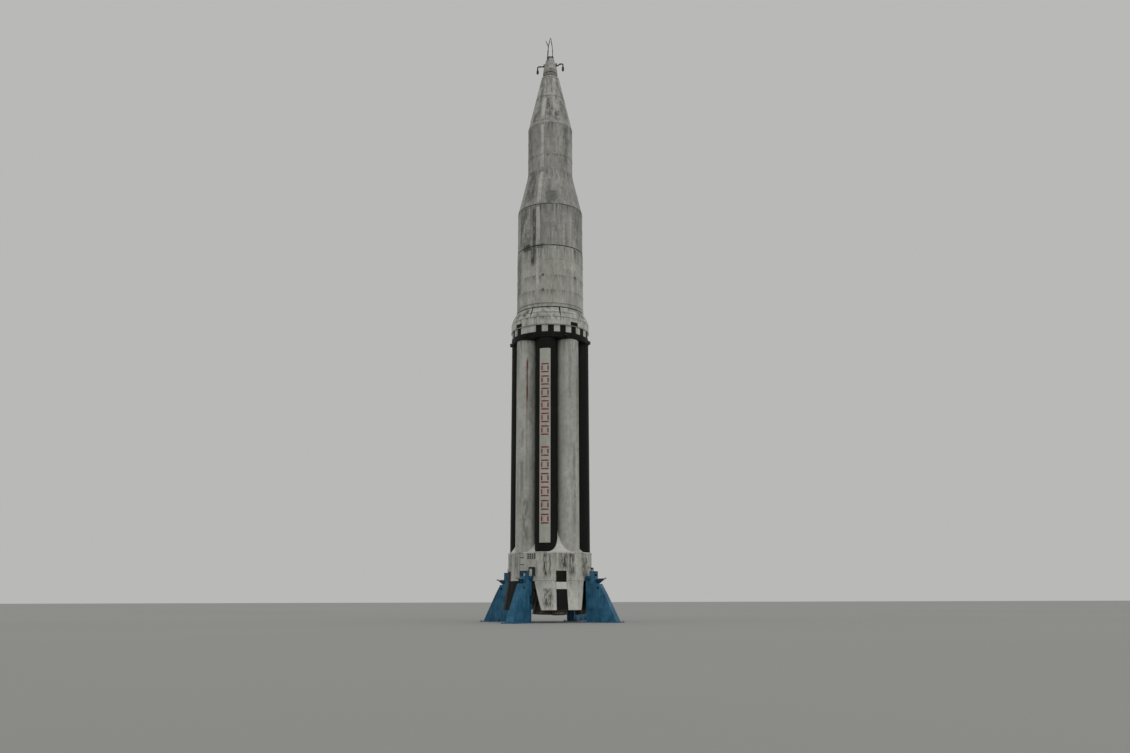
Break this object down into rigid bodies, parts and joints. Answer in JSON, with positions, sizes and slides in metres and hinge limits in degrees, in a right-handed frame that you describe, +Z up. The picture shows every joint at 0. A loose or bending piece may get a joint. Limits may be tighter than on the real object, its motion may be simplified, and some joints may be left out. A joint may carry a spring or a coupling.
{
  "type": "clustered-tank launch rocket on support towers, 1:2 scale model",
  "caption": "Tall launch rocket with a ring of tanks round a core, stacked upper stages, a nose cone, gimballed tail engines and braced stand towers.",
  "frame": {"origin": "on the ground, on the rocket's centre line, under the middle of the stand's four towers", "axes": "+Z up along the rocket, towards the nose; -Y is the front, where the striped fuel tank is; +X is the rocket's right as the picture shows it"},
  "size_m": [6.0038, 6.0038, 25.8117],
  "materials": {
    "weathered_grey_paint": "weathered matt",
    "white_paint": "weathered satin",
    "black_paint": "weathered satin",
    "blue_paint": "satin",
    "engine_steel": "dull",
    "red_lamp_paint": "dull gloss"
  },
  "bodies": {
    "rocket_and_stand": {"lightning_rods": "engine_steel", "nose_cap": "weathered_grey_paint", "obstruction_light_left": "red_lamp_paint", "obstruction_light_right": "red_lamp_paint", "nose_cone": "weathered_grey_paint", "third_stage": "weathered_grey_paint", "adapter_cone": "weathered_grey_paint", "second_stage_upper": "weathered_grey_paint", "second_stage_lower": "weathered_grey_paint", "interstage_fairing": "white_paint", "checker_ring": "white_paint", "tank_ring": "black_paint", "centre_tank": "white_paint", "fuel_tank_1": "black_paint", "fuel_tank_2": "black_paint", "fuel_tank_3": "black_paint", "fuel_tank_4": "black_paint", "oxidiser_tank_1": "white_paint", "oxidiser_tank_2": "white_paint", "oxidiser_tank_3": "white_paint", "oxidiser_tank_4": "white_paint", "tail_barrel": "white_paint", "firewall": "engine_steel", "engine_fairing_1": "white_paint", "engine_fairing_2": "white_paint", "engine_fairing_3": "white_paint", "engine_fairing_4": "white_paint", "inboard_engine_1": "engine_steel", "inboard_engine_2": "engine_steel", "inboard_engine_3": "engine_steel", "inboard_engine_4": "engine_steel", "stand_tower_1": "blue_paint", "stand_tower_2": "blue_paint", "stand_tower_3": "blue_paint", "stand_tower_4": "blue_paint"},
    "gimbal_cross_1": {"gimbal_cross_1": "engine_steel"},
    "gimbal_cross_2": {"gimbal_cross_2": "engine_steel"},
    "gimbal_cross_3": {"gimbal_cross_3": "engine_steel"},
    "gimbal_cross_4": {"gimbal_cross_4": "engine_steel"},
    "outboard_engine_1": {"outboard_engine_1": "engine_steel"},
    "outboard_engine_2": {"outboard_engine_2": "engine_steel"},
    "outboard_engine_3": {"outboard_engine_3": "engine_steel"},
    "outboard_engine_4": {"outboard_engine_4": "engine_steel"}
  },
  "joints": [
    {"name": "engine_1_swing_out", "type": "hinge", "parent": "rocket_and_stand", "child": "gimbal_cross_1", "pos_m": [0.46171, -1.11466, 1.52], "axis": [0.9239, 0.3827, 0], "range_deg": [-8, 8]},
    {"name": "engine_1_swing_across", "type": "hinge", "parent": "gimbal_cross_1", "child": "outboard_engine_1", "pos_m": [0.46171, -1.11466, 1.52], "axis": [0.3806, -0.9188, 0.1045], "range_deg": [-8, 8]},
    {"name": "engine_2_swing_out", "type": "hinge", "parent": "rocket_and_stand", "child": "gimbal_cross_2", "pos_m": [1.11466, 0.46171, 1.52], "axis": [-0.3827, 0.9239, 0], "range_deg": [-8, 8]},
    {"name": "engine_2_swing_across", "type": "hinge", "parent": "gimbal_cross_2", "child": "outboard_engine_2", "pos_m": [1.11466, 0.46171, 1.52], "axis": [0.9188, 0.3806, 0.1045], "range_deg": [-8, 8]},
    {"name": "engine_3_swing_out", "type": "hinge", "parent": "rocket_and_stand", "child": "gimbal_cross_3", "pos_m": [-0.46171, 1.11466, 1.52], "axis": [-0.9239, -0.3827, 0], "range_deg": [-8, 8]},
    {"name": "engine_3_swing_across", "type": "hinge", "parent": "gimbal_cross_3", "child": "outboard_engine_3", "pos_m": [-0.46171, 1.11466, 1.52], "axis": [-0.3806, 0.9188, 0.1045], "range_deg": [-8, 8]},
    {"name": "engine_4_swing_out", "type": "hinge", "parent": "rocket_and_stand", "child": "gimbal_cross_4", "pos_m": [-1.11466, -0.46171, 1.52], "axis": [0.3827, -0.9239, 0], "range_deg": [-8, 8]},
    {"name": "engine_4_swing_across", "type": "hinge", "parent": "gimbal_cross_4", "child": "outboard_engine_4", "pos_m": [-1.11466, -0.46171, 1.52], "axis": [-0.9188, -0.3806, 0.1045], "range_deg": [-8, 8]}
  ]
}
